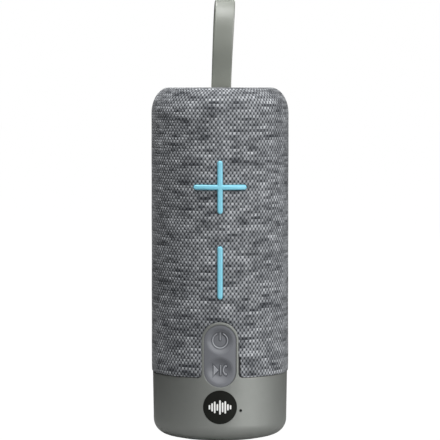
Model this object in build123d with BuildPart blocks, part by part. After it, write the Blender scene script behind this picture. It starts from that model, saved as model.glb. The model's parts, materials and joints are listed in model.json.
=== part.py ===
from build123d import *

import os
from math import atan2, degrees, sqrt

# A portable wireless speaker: an upright drum with a knitted sleeve, a moulded base cup whose tongue
# carries the power and play keys, two raised volume keys, and a carrying strap on a pin in the top.
# Millimetres. +Z is up, the front faces -Y, and the origin is the middle of the foot's underside.

os.makedirs("parts", exist_ok=True)

# ---------------------------------------------------------------- driving dimensions
far = 60.0  # reaches past everything it has to cut through

sleeve_radius = 36.0
sleeve_top = 182.5
sleeve_thickness = 1.0
shoulder_run = 9.5  # the rounded shoulder's reach inwards
shoulder_rise = 13.7  # and its height
grille_gap = 0.05
grille_wall = 2.0

cup_radius_low = 35.0  # outer radius where the rounded corner ends
cup_draft = 0.0155  # growth of that radius per millimetre of height
cup_corner = 8.0
cup_underside = 0.5
cup_wall = 2.2
cup_rim = 33.6
cup_floor = cup_underside + cup_wall

tongue_width = 19.1
tongue_top = 62.5
tongue_root = 2.0  # radius where the tongue meets the rim
tongue_gap = 0.15
rim_round = 0.4
mouth_round = 0.25

foot_radius = 26.0
foot_thickness = 1.3

pad_width = 16.4
pad_low = 28.9
pad_high = 60.9
pad_gap = 0.12
pad_recess = 0.4  # the pad's face lies this far below the tongue's
pad_flange = 0.8
key_radius = 6.5
key_gap = 0.12
key_flange_radius = 7.0
key_flange_front = 31.1
key_flange_back = 30.4
key_dish = 0.9
symbol_rise = 0.25
power_height = 52.8
play_height = 37.5

volume_span = 27.2  # length of each bar
volume_bar = 2.7  # width of each bar
volume_crown = 37.2  # radius of the bars' faces
volume_round = 0.9
volume_gap = 0.35
volume_lip = 1.5  # how far the hidden flange spreads beyond the bar
volume_lip_inner = 31.6
volume_lip_outer = 32.6
plus_height = 131.5
minus_height = 87.8

switch_board_back = 27.9
switch_board_front = 28.9
switch_face = 29.7
switch_body = 4.6
switch_base = 0.5
switch_plunger = 1.4
nub_radius = 1.5
nub_end = 30.35

post_places = [(21.0, 0.0), (-21.0, 0.0), (0.0, -21.0)]
post_radius = 4.6
post_shoulder = 28.0  # the base screws' heads bear here
post_bore = 1.6
post_well = 2.9  # the heads go in through this radius
boss_radius = 3.4  # the chassis bosses that the base screws bite into
boss_bore = 1.5
boss_depth = 7.0
standoff_places = [(15.0, 14.0), (-15.0, 14.0), (13.0, -14.0), (-13.0, -14.0)]
standoff_radius = 2.5
board_radius = 28.5
board_bottom = 15.0
board_top = 16.6
small_bore = 0.85  # pilot hole of the smallest screws

badge_height = 18.6
badge_radius = 8.7
badge_recess = 0.5
badge_proud = 0.1
microphone_x = 10.6
microphone_height = 16.7
microphone_hole = 0.6
microphone_angle = degrees(atan2(-sqrt(cup_radius_low**2 - microphone_x**2), microphone_x))

port_height = 18.0
port_floor = 31.5  # Y of the port recess's flat floor
port_block = 29.3  # Y of the inner face behind it
port_block_low = 9.6
port_block_high = 26.4
port_block_width = 27.0
port_block_depth = 3.6
port_well_width = 22.0
port_well_tall = 10.6
flap_width = 25.0
flap_tall = 13.6
flap_thickness = 1.35
flap_seat = 1.5
flap_gap = 0.3
flap_hinge = -9.0  # X of the hinge line
socket_x = 6.0
usb_height = 18.2
usb_width = 9.0
usb_tall = 3.2
usb_wall = 0.3
usb_clearance = 0.15
aux_height = 19.1
aux_barrel = 2.5
aux_bore = 1.75
aux_clearance = 0.15

chassis_radius = 32.8
chassis_low = 36.0
chassis_high = 170.0
chassis_wall = 2.2
chassis_floor = 3.0
chassis_flat = 23.6  # the speakers are bolted to flats at this X
flat_low = 64.0
flat_high = 159.0
spine = 26.0  # the cavity stops at this Y in front and behind, which leaves two solid spines
chassis_screw_y = 29.2
chassis_screws_rear = (50.0, 110.0, 160.0)
chassis_screws_front = (69.8, 156.0)
chassis_screw_start = -8.0
chassis_screw_head = 9.0  # X where the heads bear
chassis_screw_end = 10.8
chassis_screw_radius = 1.0
chassis_head_radius = 1.9

driver_height = 135.0
radiator_height = 88.0
speaker_radius = 20.6
speaker_bore = 17.8
speaker_screw_ring = 19.1
speaker_window = 16.6  # radius of the frames' openings
gasket_thickness = 0.5

cap_radius = 24.2
cap_edge = cap_radius + 0.25
cap_top = 182.1
pocket_x = 13.6
pocket_y = 26.0
pocket_floor = 175.0
cap_screw_places = [(4.0, 9.0), (-4.0, 9.0), (4.0, -9.0), (-4.0, -9.0)]
cap_screw_bore = 0.95
cap_skirt = 2.4
cap_hollow = 8.0
cap_round = 0.8
grille_rows = 8
grille_pitch = 16.0
grille_first = 50.0
grille_columns = 10
grille_sweep = 108.0  # degrees of slots on each side

pin_height = 180.0
pin_radius = 1.25
pin_half = 9.0
pin_clearance = 0.05

strap_width = 10.4
strap_thickness = 2.0
strap_top = 228.5
strap_bend = 8.5  # outer radius of the loop's top
strap_eye = 3.2
strap_slot = 1.6  # radius of the loop's lower end, above the pin
strap_slot_rise = 6.0
strap_x = 0.6  # the strap rests a little to the right on its pin

cell_radius = 9.25
cell_low = 41.0
cell_high = 106.0
cell_tip = 1.0
cell_gap = 0.1
cradle_size = 24.0
cradle_tall = 17.0
collar_low = 96.0
collar_tall = 3.0


# ---------------------------------------------------------------- helpers
def write(shape, name):
    """Labels a finished piece and writes its STEP file."""
    shape.label = name
    export_step(shape, f"parts/{name}.step")


def write_pair(piece, name):
    """Writes a right-hand piece and its mirror image on the left."""
    with BuildPart() as twin:
        mirror(piece.part, about=Plane.YZ)
    write(piece.part, f"{name}_right")
    write(twin.part, f"{name}_left")


def cup_radius(height):
    """Outer radius of the drafted wall at a height."""
    return cup_radius_low + cup_draft * (height - cup_underside - cup_corner)


def cup_band(inner, outer, low, high):
    """A ring between two offsets from the outside of the drafted wall."""
    with BuildPart() as band:
        with BuildSketch(Plane.XZ):
            with BuildLine():
                Polyline(
                    (cup_radius(low) + inner, low),
                    (cup_radius(low) + outer, low),
                    (cup_radius(high) + outer, high),
                    (cup_radius(high) + inner, high),
                    close=True,
                )
            make_face()
        revolve(axis=Axis.Z)
    return band.part


def ring(inner, outer, low, high):
    """A plain upright ring."""
    with BuildPart() as band:
        with BuildSketch(Plane.XY.offset(low)):
            Circle(outer)
            Circle(inner, mode=Mode.SUBTRACT)
        extrude(amount=high - low)
    return band.part


def prism(shapes, start=0.0, end=far, front=True):
    """Extrudes outlines drawn in X and Z between two distances from the middle, to the front or rear."""
    sign = 1 if front else -1
    with BuildPart() as solid:
        with BuildSketch(Plane.XZ.offset(sign * start)):
            for shape in shapes:
                add(shape)
        extrude(amount=sign * (end - start))
    return solid.part


def disc(radius, height, x=0.0):
    """A circle outline."""
    with BuildSketch() as outline:
        with Locations((x, height)):
            Circle(radius)
    return outline.sketch


def box(width, low, high, x=0.0):
    """A rectangle outline between two heights."""
    with BuildSketch() as outline:
        with Locations((x, (low + high) / 2)):
            Rectangle(width, high - low)
    return outline.sketch


def slot(width, tall, height, x=0.0):
    """A round-ended outline, upright or level according to its longer side."""
    turn = 90 if tall > width else 0
    with BuildSketch() as outline:
        with Locations((x, height)):
            SlotOverall(max(width, tall), min(width, tall), rotation=turn)
    return outline.sketch


def pad_outline(grow):
    """The stadium of the power and play pad."""
    middle = (pad_low + pad_high) / 2
    return slot(pad_width + 2 * grow, pad_high - pad_low + 2 * grow, middle)


def volume_outline(height, grow, crossed):
    """An upright bar, crossed by a level one on the plus key."""
    long = volume_span + 2 * grow
    wide = volume_bar + 2 * grow
    bars = [slot(wide, long, height)]
    if crossed:
        bars.append(slot(long, wide, height))
    return bars


def reach(grow):
    """All the space the cup fills: below its rim, and the tongue in front."""
    half = tongue_width / 2 + grow
    rim = cup_rim + grow
    with BuildPart() as space:
        with BuildSketch(Plane.XZ) as face:
            Rectangle(2 * far, rim, align=(Align.CENTER, Align.MIN))
            with Locations((0, (tongue_top + grow) / 2)):
                SlotOverall(tongue_top + grow, 2 * half, rotation=90)
            roots = face.vertices().filter_by(lambda v: abs(abs(v.X) - half) + abs(v.Y - rim) < 0.01)
            fillet(roots, tongue_root - grow)
        extrude(amount=far)
        with BuildSketch(Plane.XZ):
            Rectangle(2 * far, rim, align=(Align.CENTER, Align.MIN))
        extrude(amount=-far)
    return space.part


def outer_edges(piece, low, high):
    """The edges on the outside of the drafted wall between two heights."""
    chosen = ShapeList()
    for edge in piece.edges():
        middle = edge @ 0.5
        off = sqrt(middle.X**2 + middle.Y**2) - cup_radius(middle.Z)
        if abs(off) < 0.02 and low < middle.Z < high:
            chosen.append(edge)
    return chosen


def sleeve_profile(inset, low):
    """The sleeve's section moved inwards: wall, elliptical shoulder and flat top."""
    middle = sleeve_radius - shoulder_run
    shoulder = sleeve_top - shoulder_rise
    with BuildLine() as line:
        Line((sleeve_radius - inset, low), (sleeve_radius - inset, shoulder))
        EllipticalCenterArc((middle, shoulder), shoulder_run - inset, shoulder_rise - inset)
        Line((middle, sleeve_top - inset), (cap_edge, sleeve_top - inset))
    return line.line


def drum(outer_inset, inner_inset, low):
    """The solid of revolution between two offsets of the sleeve's section."""
    with BuildPart() as shell:
        with BuildSketch(Plane.XZ):
            with BuildLine():
                add(sleeve_profile(outer_inset, low))
                add(sleeve_profile(inner_inset, low))
                Line((sleeve_radius - outer_inset, low), (sleeve_radius - inner_inset, low))
                Line((cap_edge, sleeve_top - outer_inset), (cap_edge, sleeve_top - inner_inset))
            make_face()
        revolve(axis=Axis.Z)
    return shell.part


def turned(height, *outline):
    """A solid of revolution about the level axis of a speaker, from (X, radius) points."""
    with BuildPart() as solid:
        with BuildSketch(Plane.XZ):
            with BuildLine():
                Polyline(*[(x, height + radius) for x, radius in outline], close=True)
            make_face()
        revolve(axis=Axis((0, 0, height), (1, 0, 0)))
    return solid


def upright_screws(places, head_radius, head_low, head_high, shank_radius, tip):
    """Screws along Z with plain round heads."""
    root = head_low if tip < head_low else head_high
    with BuildPart() as screws:
        with BuildSketch(Plane.XY.offset(head_low)):
            with Locations(*places):
                Circle(head_radius)
        extrude(amount=head_high - head_low)
        with BuildSketch(Plane.XY.offset(root)):
            with Locations(*places):
                Circle(shank_radius)
        extrude(amount=tip - root)
    return screws


def switches(heights):
    """Low tactile switches on the front of a switch board."""
    with BuildPart() as row:
        with BuildSketch(Plane.XZ.offset(switch_board_front)):
            with Locations(*[(0, height) for height in heights]):
                Rectangle(switch_body, switch_body)
        extrude(amount=switch_base)
        with BuildSketch(Plane.XZ.offset(switch_board_front + switch_base)):
            with Locations(*[(0, height) for height in heights]):
                Circle(switch_plunger)
        extrude(amount=switch_face - switch_board_front - switch_base)
    return row


def switch_board(width, low, high):
    """A narrow circuit board that stands behind the front keys."""
    with BuildPart() as board:
        add(prism([box(width, low, high)], switch_board_back, switch_board_front))
    return board


# ---------------------------------------------------------------- base cup with its tongue
corner_r = cup_radius_low - cup_corner
corner_z = cup_underside + cup_corner
tip_radius = cup_radius(tongue_top)

with BuildPart() as base_cup:
    with BuildSketch(Plane.XZ):
        with BuildLine():
            Line((0, cup_underside), (corner_r, cup_underside))
            CenterArc((corner_r, corner_z), cup_corner, 270, 90)
            Line((cup_radius_low, corner_z), (tip_radius, tongue_top))
            Line((tip_radius, tongue_top), (tip_radius - cup_wall, tongue_top))
            Line((tip_radius - cup_wall, tongue_top), (cup_radius_low - cup_wall, corner_z))
            CenterArc((corner_r, corner_z), cup_corner - cup_wall, 0, -90)
            Line((corner_r, cup_floor), (0, cup_floor))
            Line((0, cup_floor), (0, cup_underside))
        make_face()
    revolve(axis=Axis.Z)
    add(reach(0), mode=Mode.INTERSECT)
    fillet(outer_edges(base_cup, cup_rim - 0.1, far + 5), rim_round)
    # block behind the ports, screw posts and board standoffs
    with BuildSketch(Plane.XY.offset(port_block_low)):
        with Locations((0, port_block)):
            Rectangle(port_block_width, port_block_depth, align=(Align.CENTER, Align.MIN))
        Circle(cup_radius_low - cup_wall / 2, mode=Mode.INTERSECT)
    extrude(amount=port_block_high - port_block_low)
    with BuildSketch(Plane.XY.offset(cup_floor)):
        with Locations(*post_places):
            Circle(post_radius)
    extrude(amount=chassis_low - cup_floor)
    with BuildSketch(Plane.XY.offset(cup_floor)):
        with Locations(*standoff_places):
            Circle(standoff_radius)
    extrude(amount=board_bottom - cup_floor)
    # screw bores from below, and from above in the standoffs
    with BuildSketch(Plane.XY):
        with Locations(*post_places):
            Circle(post_bore)
    extrude(amount=far, mode=Mode.SUBTRACT)
    with BuildSketch(Plane.XY):
        with Locations(*post_places):
            Circle(post_well)
    extrude(amount=post_shoulder, mode=Mode.SUBTRACT)
    with BuildSketch(Plane.XY.offset(board_bottom)):
        with Locations(*standoff_places):
            Circle(small_bore)
    extrude(amount=-8, mode=Mode.SUBTRACT)
    # recesses for the foot, the pad and the badge
    with BuildSketch(Plane.XY):
        Circle(foot_radius + 0.1)
    extrude(amount=foot_thickness, mode=Mode.SUBTRACT)
    add(prism([pad_outline(pad_gap)]), mode=Mode.SUBTRACT)
    mouth = outer_edges(base_cup, pad_low - 1, pad_high + 0.5)
    fillet(mouth.filter_by(lambda e: abs((e @ 0.5).X) < pad_width / 2 + 0.5), mouth_round)
    add(
        prism([disc(badge_radius + 0.05, badge_height)]) & cup_band(-badge_recess, 2, 9, cup_rim),
        mode=Mode.SUBTRACT,
    )
    with Locations(Location((0, 0, microphone_height), (0, 0, microphone_angle))):
        Cylinder(
            microphone_hole,
            far,
            rotation=(0, 90, 0),
            align=(Align.CENTER, Align.CENTER, Align.MIN),
            mode=Mode.SUBTRACT,
        )
    # the port recess: a seat for the flap, a well, and the sockets' openings
    add(
        prism([slot(flap_width + 2 * flap_gap, flap_tall + 2 * flap_gap, port_height)], front=False)
        & cup_band(-flap_seat, 2, 9, cup_rim),
        mode=Mode.SUBTRACT,
    )
    well = slot(port_well_width, port_well_tall, port_height)
    add(prism([well], port_floor, far, front=False), mode=Mode.SUBTRACT)
    openings = [
        slot(usb_width + 2 * usb_clearance, usb_tall + 2 * usb_clearance, usb_height, -socket_x),
        disc(aux_barrel + aux_clearance, aux_height, socket_x),
    ]
    add(prism(openings, port_block - port_block_depth, far, front=False), mode=Mode.SUBTRACT)
write(base_cup.part, "base_cup")

with BuildPart() as foot_pad:
    with BuildSketch():
        Circle(foot_radius)
    extrude(amount=foot_thickness)
    chamfer(foot_pad.edges().group_by(Axis.Z)[0], 0.3)
write(foot_pad.part, "foot_pad")

base_screws = upright_screws(post_places, 2.6, post_shoulder - 2, post_shoulder, 1.45, 42)
write(base_screws.part, "base_screws")

with BuildPart() as badge:
    add(prism([disc(badge_radius, badge_height)]))
    add(cup_band(-badge_recess, badge_proud, 5, cup_rim), mode=Mode.INTERSECT)
write(badge.part, "badge")

# ---------------------------------------------------------------- power and play keys
with BuildPart() as keypad:
    add(prism([pad_outline(0)]))
    add(cup_band(-cup_wall - pad_flange, -pad_recess, 20, 70), mode=Mode.INTERSECT)
    add(
        prism([pad_outline(1.1)])
        & cup_band(-cup_wall - pad_flange, -cup_wall - 0.05, 20, 70)
    )
    add(
        prism([disc(key_radius + key_gap, height) for height in (power_height, play_height)]),
        mode=Mode.SUBTRACT,
    )
write(keypad.part, "keypad")


def key(height, symbol):
    """A dished round key with a raised symbol, and a flange behind that holds it in the pad."""
    face = cup_radius(height) - pad_recess
    sphere = (key_radius**2 + key_dish**2) / (2 * key_dish)
    centre = (0, -(face + sphere - key_dish), height)
    with BuildPart() as raised:
        add(prism(symbol, key_flange_front, face))
        with Locations(centre):
            Sphere(sphere - symbol_rise, mode=Mode.SUBTRACT)
    with BuildPart() as cap:
        add(prism([disc(key_radius, height)]))
        add(cup_band(-5, -pad_recess, 20, 70), mode=Mode.INTERSECT)
        add(prism([disc(key_flange_radius + 2, height)], 0, key_flange_back), mode=Mode.SUBTRACT)
        add(prism([disc(key_flange_radius, height)], key_flange_back, key_flange_front))
        with Locations(centre):
            Sphere(sphere, mode=Mode.SUBTRACT)
        add(raised.part)
    return cap


def power_symbol(height):
    """A broken ring with a bar in the break."""
    with BuildSketch() as mark:
        with Locations((0, height)):
            Circle(4.2)
            Circle(3.4, mode=Mode.SUBTRACT)
        with Locations((0, height + 4.2)):
            Rectangle(3.0, 3.6, mode=Mode.SUBTRACT)
        with Locations((0, height + 2.2)):
            SlotOverall(4.0, 0.8, rotation=90)
    return [mark.sketch]


def play_symbol(height):
    """A triangle, a bar and a handset."""
    with BuildSketch() as mark:
        with Locations((0, height)):
            with BuildLine():
                Polyline((-3.4, height - 2.7), (-3.4, height + 2.7), (-0.9, height), close=True)
            make_face()
        with Locations((0.2, height)):
            SlotOverall(5.4, 0.5, rotation=90)
        with Locations((4.4, height)):
            Circle(3.2)
            Circle(2.2, mode=Mode.SUBTRACT)
        with Locations((7.0, height)):
            Rectangle(8, 8, mode=Mode.SUBTRACT)
        with Locations((2.8, height + 2.1), (2.8, height - 2.1)):
            Circle(0.75)
    return [mark.sketch]


power_key = key(power_height, power_symbol(power_height))
write(power_key.part, "power_key")

play_key = key(play_height, play_symbol(play_height))
write(play_key.part, "play_key")

key_board = switch_board(16, 30, 61)
write(key_board.part, "key_board")

key_switches = switches((power_height, play_height))
write(key_switches.part, "key_switches")


# ---------------------------------------------------------------- volume keys
def volume_key(height, crossed):
    """Raised bars with a flange behind the grille and a nub over the switch."""
    with BuildPart() as cap:
        add(prism(volume_outline(height, 0, crossed)))
        add(ring(volume_lip_inner, volume_crown, 60, 160), mode=Mode.INTERSECT)
        crown = cap.faces().sort_by(Axis.Y)[0]
        fillet(crown.edges(), volume_round)
        add(
            prism(volume_outline(height, volume_lip, crossed))
            & ring(volume_lip_inner, volume_lip_outer, 60, 160)
        )
        add(prism([disc(nub_radius, height)], nub_end, volume_lip_outer - 0.5))
    return cap


plus_button = volume_key(plus_height, True)
write(plus_button.part, "plus_button")

minus_button = volume_key(minus_height, False)
write(minus_button.part, "minus_button")

volume_board = switch_board(15, 77, 141)
write(volume_board.part, "volume_board")

volume_switches = switches((plus_height, minus_height))
write(volume_switches.part, "volume_switches")

# ---------------------------------------------------------------- sleeve and grille
front_windows = prism(
    volume_outline(plus_height, volume_gap, True) + volume_outline(minus_height, volume_gap, False)
)

with BuildPart() as fabric_sleeve:
    add(drum(0, sleeve_thickness, cup_rim - 1))
    add(reach(tongue_gap), mode=Mode.SUBTRACT)
    add(front_windows, mode=Mode.SUBTRACT)
write(fabric_sleeve.part, "fabric_sleeve")

with BuildPart() as grille:
    add(drum(sleeve_thickness + grille_gap, sleeve_thickness + grille_gap + grille_wall, cup_rim - 1))
    add(reach(tongue_gap), mode=Mode.SUBTRACT)
    add(front_windows, mode=Mode.SUBTRACT)
    # sound slots on both sides
    slot_radius = sleeve_radius - grille_wall
    rows = [(0, 0, grille_first + grille_pitch * row) for row in range(grille_rows)]
    for side in (0, 180):
        with Locations(*rows):
            first = side - grille_sweep / 2
            with PolarLocations(slot_radius, grille_columns, first, grille_sweep, endpoint=True):
                Box(8, 2.8, 12, mode=Mode.SUBTRACT)
write(grille.part, "grille")

# ---------------------------------------------------------------- chassis
with BuildPart() as chassis:
    with BuildSketch(Plane.XY.offset(chassis_low)):
        Circle(chassis_radius)
    extrude(amount=chassis_high - chassis_low)
    # flats for the speakers, the cavity, and the speakers' openings
    with BuildSketch(Plane.XY.offset(flat_low)):
        Rectangle(2 * far, 2 * far)
        Rectangle(2 * chassis_flat, 2 * far, mode=Mode.SUBTRACT)
    extrude(amount=flat_high - flat_low, mode=Mode.SUBTRACT)
    with BuildSketch(Plane.XY.offset(chassis_low + chassis_floor)):
        Circle(chassis_radius - chassis_wall)
        Rectangle(2 * (chassis_flat - chassis_wall), 2 * spine, mode=Mode.INTERSECT)
    extrude(amount=chassis_high - chassis_low - 2 * chassis_floor, mode=Mode.SUBTRACT)
    with BuildSketch(Plane.YZ):
        with Locations((0, driver_height), (0, radiator_height)):
            Circle(speaker_bore)
            with PolarLocations(speaker_screw_ring, 4, 45):
                Circle(small_bore)
    extrude(amount=far, both=True, mode=Mode.SUBTRACT)
    # bosses for the base screws
    with BuildSketch(Plane.XY.offset(chassis_low)):
        with Locations(*post_places):
            Circle(boss_radius)
    extrude(amount=boss_depth + 1)
    with BuildSketch(Plane.XY.offset(chassis_low)):
        with Locations(*post_places):
            Circle(boss_bore)
    extrude(amount=boss_depth, mode=Mode.SUBTRACT)
    # recesses for the switch boards and for the volume keys' flanges
    add(prism([box(21, chassis_low, 64.5), box(16, 76, 145)], switch_board_back), mode=Mode.SUBTRACT)
    flange_room = prism(
        volume_outline(plus_height, volume_lip + 0.3, True)
        + volume_outline(minus_height, volume_lip + 0.3, False)
    )
    add(flange_room & ring(volume_lip_inner - 0.9, far, 60, 160), mode=Mode.SUBTRACT)
    # bores for the screws that hold the halves together, and for the cap's
    screw_lines = [(chassis_screw_y, z) for z in chassis_screws_rear]
    screw_lines += [(-chassis_screw_y, z) for z in chassis_screws_front]
    with BuildSketch(Plane.YZ.offset(chassis_screw_start - 1)):
        with Locations(*screw_lines):
            Circle(chassis_screw_radius + 0.05)
    extrude(amount=far, mode=Mode.SUBTRACT)
    with BuildSketch(Plane.YZ.offset(chassis_screw_head)):
        with Locations(*screw_lines):
            Circle(chassis_head_radius + 0.2)
    extrude(amount=far, mode=Mode.SUBTRACT)
    with BuildSketch(Plane.XY.offset(chassis_high)):
        with Locations(*cap_screw_places):
            Circle(cap_screw_bore)
    extrude(amount=-chassis_floor, mode=Mode.SUBTRACT)

with BuildPart() as chassis_right:
    add(chassis.part)
    split(bisect_by=Plane.YZ, keep=Keep.TOP)
write(chassis_right.part, "chassis_right")

with BuildPart() as chassis_left:
    add(chassis.part)
    split(bisect_by=Plane.YZ, keep=Keep.BOTTOM)
write(chassis_left.part, "chassis_left")

with BuildPart() as chassis_screws:
    with BuildSketch(Plane.YZ.offset(chassis_screw_head)):
        with Locations(*screw_lines):
            Circle(chassis_head_radius)
    extrude(amount=chassis_screw_end - chassis_screw_head)
    with BuildSketch(Plane.YZ.offset(chassis_screw_start)):
        with Locations(*screw_lines):
            Circle(chassis_screw_radius)
    extrude(amount=chassis_screw_head - chassis_screw_start)
write(chassis_screws.part, "chassis_screws")


# ---------------------------------------------------------------- speakers and passive radiators
frame_back = chassis_flat + gasket_thickness
frame_front = frame_back + 1.0


def gasket(height):
    """A flat ring on the chassis flat, pierced for four screws."""
    with BuildPart() as band:
        with BuildSketch(Plane.YZ.offset(chassis_flat)):
            with Locations((0, height)):
                Circle(speaker_radius)
                Circle(speaker_bore, mode=Mode.SUBTRACT)
                with PolarLocations(speaker_screw_ring, 4, 45):
                    Circle(small_bore, mode=Mode.SUBTRACT)
        extrude(amount=gasket_thickness)
    return band


def pierce(piece, height):
    """Adds the four screw holes to a speaker's frame."""
    with BuildPart() as pierced:
        add(piece.part)
        with BuildSketch(Plane.YZ):
            with Locations((0, height)):
                with PolarLocations(speaker_screw_ring, 4, 45):
                    Circle(small_bore)
        extrude(amount=far, mode=Mode.SUBTRACT)
    return pierced


def speaker_screws(height):
    """Four screws through a frame into the chassis flat."""
    with BuildPart() as screws:
        for start, length, radius in ((frame_front, 1.1, 1.25), (frame_front - 5, 5, 0.8)):
            with BuildSketch(Plane.YZ.offset(start)):
                with Locations((0, height)):
                    with PolarLocations(speaker_screw_ring, 4, 45):
                        Circle(radius)
            extrude(amount=length)
    return screws


def surround(height, inner_lip, inner_face):
    """A half-roll of rubber between a cone or plate and the frame."""
    roll_inner = inner_lip + 1.0
    roll_outer = speaker_window
    middle = (roll_inner + roll_outer) / 2
    swell = (roll_outer - roll_inner) / 2
    return turned(
        height,
        (inner_face, inner_lip),
        (inner_face + 0.4, inner_lip),
        (inner_face + 0.4, roll_inner - 0.1),
        (frame_front + 0.9, middle - 0.75 * swell),
        (frame_front + 1.4, middle),
        (frame_front + 0.9, middle + 0.75 * swell),
        (frame_front + 0.4, roll_outer + 0.1),
        (frame_front + 0.4, 17.5),
        (frame_front, 17.5),
        (frame_front, roll_outer - 0.2),
        (frame_front + 0.5, middle + 0.6 * swell),
        (frame_front + 1.0, middle),
        (frame_front + 0.5, middle - 0.6 * swell),
        (inner_face, roll_inner + 0.2),
    )


driver_frame = turned(
    driver_height,
    (frame_back, speaker_radius),
    (frame_front, speaker_radius),
    (frame_front, speaker_window),
    (23.0, speaker_window),
    (13.0, 11.0),
    (12.4, 7.6),
    (11.2, 7.6),
    (11.2, 12.0),
    (22.4, 17.4),
    (frame_back, 17.4),
)
write_pair(pierce(driver_frame, driver_height), "driver_frame")

driver_magnet = turned(
    driver_height,
    (3.0, 0.0),
    (3.0, 11.5),
    (11.2, 11.5),
    (11.2, 7.6),
    (6.0, 7.6),
    (6.0, 6.0),
    (11.2, 6.0),
    (11.2, 0.0),
)
write_pair(driver_magnet, "driver_magnet")

driver_cone = turned(
    driver_height,
    (8.0, 6.5),
    (18.4, 6.5),
    (20.4, 3.4),
    (21.0, 0.0),
    (21.5, 0.0),
    (20.9, 3.6),
    (19.2, 7.0),
    (24.7, 14.2),
    (24.7, 14.8),
    (24.1, 14.8),
    (18.4, 7.1),
    (8.0, 7.1),
)
write_pair(driver_cone, "driver_cone")
write_pair(surround(driver_height, 13.9, 24.7), "driver_surround")
write_pair(gasket(driver_height), "driver_gasket")
write_pair(speaker_screws(driver_height), "driver_screws")

radiator_frame = turned(
    radiator_height,
    (frame_back, speaker_radius),
    (frame_front, speaker_radius),
    (frame_front, speaker_window),
    (frame_back, speaker_window),
)
write_pair(pierce(radiator_frame, radiator_height), "radiator_frame")

radiator_plate = turned(
    radiator_height,
    (22.6, 0.0),
    (22.6, 11.0),
    (24.3, 13.4),
    (24.8, 13.4),
    (24.8, 0.0),
)
write_pair(radiator_plate, "radiator_plate")
write_pair(surround(radiator_height, 12.4, 24.8), "radiator_surround")
write_pair(gasket(radiator_height), "radiator_gasket")
write_pair(speaker_screws(radiator_height), "radiator_screws")

# ---------------------------------------------------------------- battery
with BuildPart() as battery_cell:
    with BuildSketch(Plane.XY.offset(cell_low)):
        Circle(cell_radius)
    extrude(amount=cell_high - cell_low - cell_tip)
    with BuildSketch(Plane.XY.offset(cell_high - cell_tip)):
        Circle(3)
    extrude(amount=cell_tip)
    rims = battery_cell.edges().filter_by(GeomType.CIRCLE).sort_by(SortBy.RADIUS)[-2:]
    fillet(rims, 0.6)
write(battery_cell.part, "battery_cell")

with BuildPart() as battery_cradle:
    with BuildSketch(Plane.XY.offset(chassis_low + chassis_floor)):
        RectangleRounded(cradle_size, cradle_size, 3)
    extrude(amount=cradle_tall)
    with BuildSketch(Plane.XY.offset(cell_low)):
        Circle(cell_radius + cell_gap)
    extrude(amount=far, mode=Mode.SUBTRACT)
write(battery_cradle.part, "battery_cradle")

with BuildPart() as battery_collar:
    with BuildSketch(Plane.XY.offset(collar_low)):
        with Locations((0, -spine)):
            Rectangle(cradle_size, spine + cradle_size / 2, align=(Align.CENTER, Align.MIN))
        Circle(cell_radius + cell_gap, mode=Mode.SUBTRACT)
    extrude(amount=collar_tall)
write(battery_collar.part, "battery_collar")

# ---------------------------------------------------------------- electronics in the base
with BuildPart() as main_board:
    with BuildSketch(Plane.XY.offset(board_bottom)):
        Circle(board_radius)
        with Locations(*post_places):
            Circle(post_radius + 0.4, mode=Mode.SUBTRACT)
        with Locations(*standoff_places):
            Circle(0.9, mode=Mode.SUBTRACT)
    extrude(amount=board_top - board_bottom)
write(main_board.part, "main_board")

with BuildPart() as board_chips:
    for x, y, width, depth, tall in (
        (0, 3, 9, 9, 1.2),
        (-12, 3, 5, 5, 1.0),
        (10, -4, 5, 6, 2.4),
        (-9, -8, 6, 4, 1.6),
        (0, -12, 8, 3, 3.0),
    ):
        with BuildSketch(Plane.XY.offset(board_top)):
            with Locations((x, y)):
                Rectangle(width, depth)
        extrude(amount=tall)
write(board_chips.part, "board_chips")

board_screws = upright_screws(standoff_places, 1.6, board_top, board_top + 1.2, 0.8, board_bottom - 5)
write(board_screws.part, "board_screws")

with BuildPart() as usb_socket:
    shell = slot(usb_width, usb_tall, usb_height, -socket_x)
    mouth = slot(usb_width - 2 * usb_wall, usb_tall - 2 * usb_wall, usb_height, -socket_x)
    tongue = box(6.6, usb_height - 0.35, usb_height + 0.35, -socket_x)
    add(prism([shell], 24, port_floor - 0.1, front=False))
    add(prism([mouth], 25, far, front=False), mode=Mode.SUBTRACT)
    add(prism([tongue], 24.5, 30.8, front=False))
write(usb_socket.part, "usb_socket")

with BuildPart() as aux_socket:
    add(prism([box(6.4, board_top, board_top + 5, socket_x)], 19, port_block, front=False))
    add(prism([disc(aux_barrel, aux_height, socket_x)], port_block - 1, port_floor - 0.1, front=False))
    add(prism([disc(aux_bore, aux_height, socket_x)], 20, far, front=False), mode=Mode.SUBTRACT)
write(aux_socket.part, "aux_socket")


def microphone_ring(inner, outer, start, length):
    """A ring about the microphone's axis."""
    with BuildPart() as piece:
        with Locations(Location((0, 0, microphone_height), (0, 0, microphone_angle))):
            with Locations((start, 0, 0)):
                Cylinder(outer, length, rotation=(0, 90, 0), align=(Align.CENTER, Align.CENTER, Align.MIN))
                if inner:
                    Cylinder(
                        inner,
                        length,
                        rotation=(0, 90, 0),
                        align=(Align.CENTER, Align.CENTER, Align.MIN),
                        mode=Mode.SUBTRACT,
                    )
    return piece


microphone = microphone_ring(0, 3.0, 30.2, 2.0)
write(microphone.part, "microphone")

microphone_boot = microphone_ring(3.0, 3.8, 30.0, 2.5)
write(microphone_boot.part, "microphone_boot")

# ---------------------------------------------------------------- flap over the ports
flap_stock = prism([slot(flap_width, flap_tall, port_height)], front=False) & cup_band(
    -flap_thickness, 0, 9, cup_rim
)
with BuildPart() as port_flap:
    add(flap_stock)
    split(bisect_by=Plane.YZ.offset(flap_hinge + 0.1), keep=Keep.TOP)
write(port_flap.part, "port_flap")

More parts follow.
